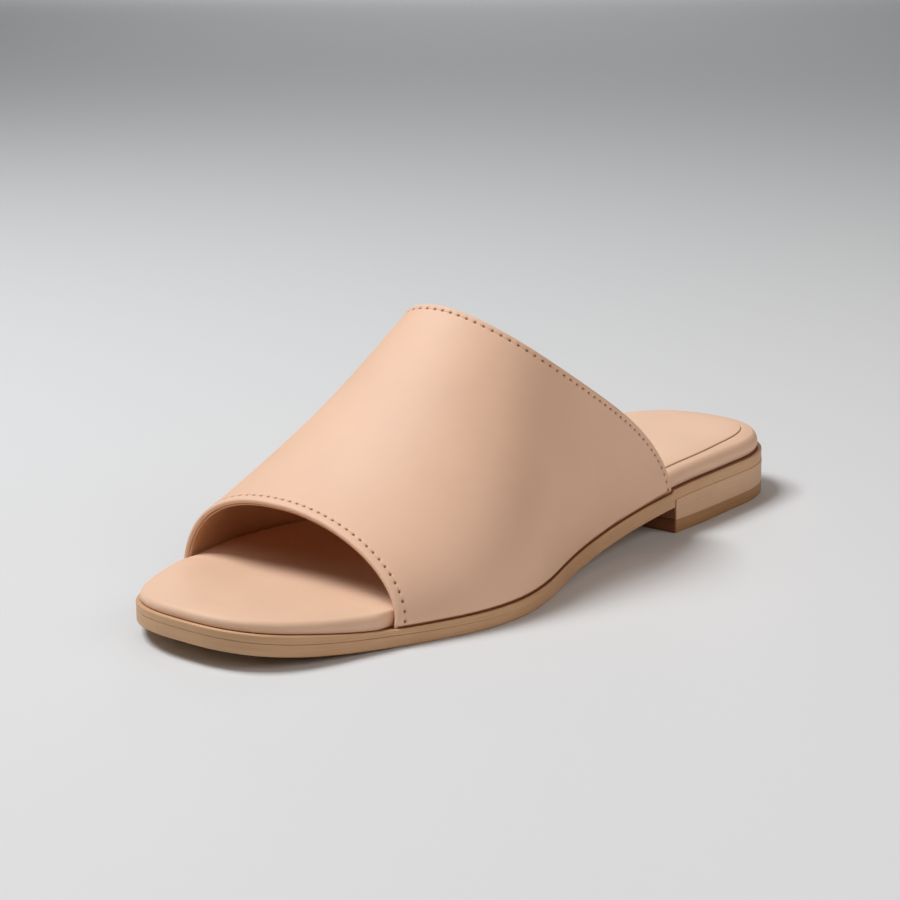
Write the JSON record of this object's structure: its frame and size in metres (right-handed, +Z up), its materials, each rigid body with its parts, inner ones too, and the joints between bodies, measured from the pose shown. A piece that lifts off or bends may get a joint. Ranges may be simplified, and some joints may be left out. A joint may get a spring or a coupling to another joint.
{
  "type": "slide sandal",
  "caption": "Left slide sandal: a wide smooth leather band, open at toe and back, over a padded footbed on a thin layered sole with a low stacked heel.",
  "frame": {"origin": "on the floor, under the middle of the shoe's box", "axes": "+X towards the toe, +Y to the wearer's left (the outer side of this left shoe), +Z up"},
  "size_m": [0.2552, 0.094, 0.0789],
  "materials": {
    "band_leather": "smooth nude leather with a soft satin gloss and a very fine grain",
    "footbed_leather": "smooth nude leather wrapped over a thin pad, satin",
    "sole_edge": "matte tan moulded sole with fine lines along its edge",
    "heel_stack": "matte tan heel block",
    "lift_rubber": "matte brown wearing layer"
  },
  "bodies": {
    "root": {"midsole": "sole_edge", "outsole": "sole_edge", "heel_block": "heel_stack", "heel_lift": "lift_rubber", "footbed": "footbed_leather", "upper": "band_leather"}
  },
  "joints": []
}
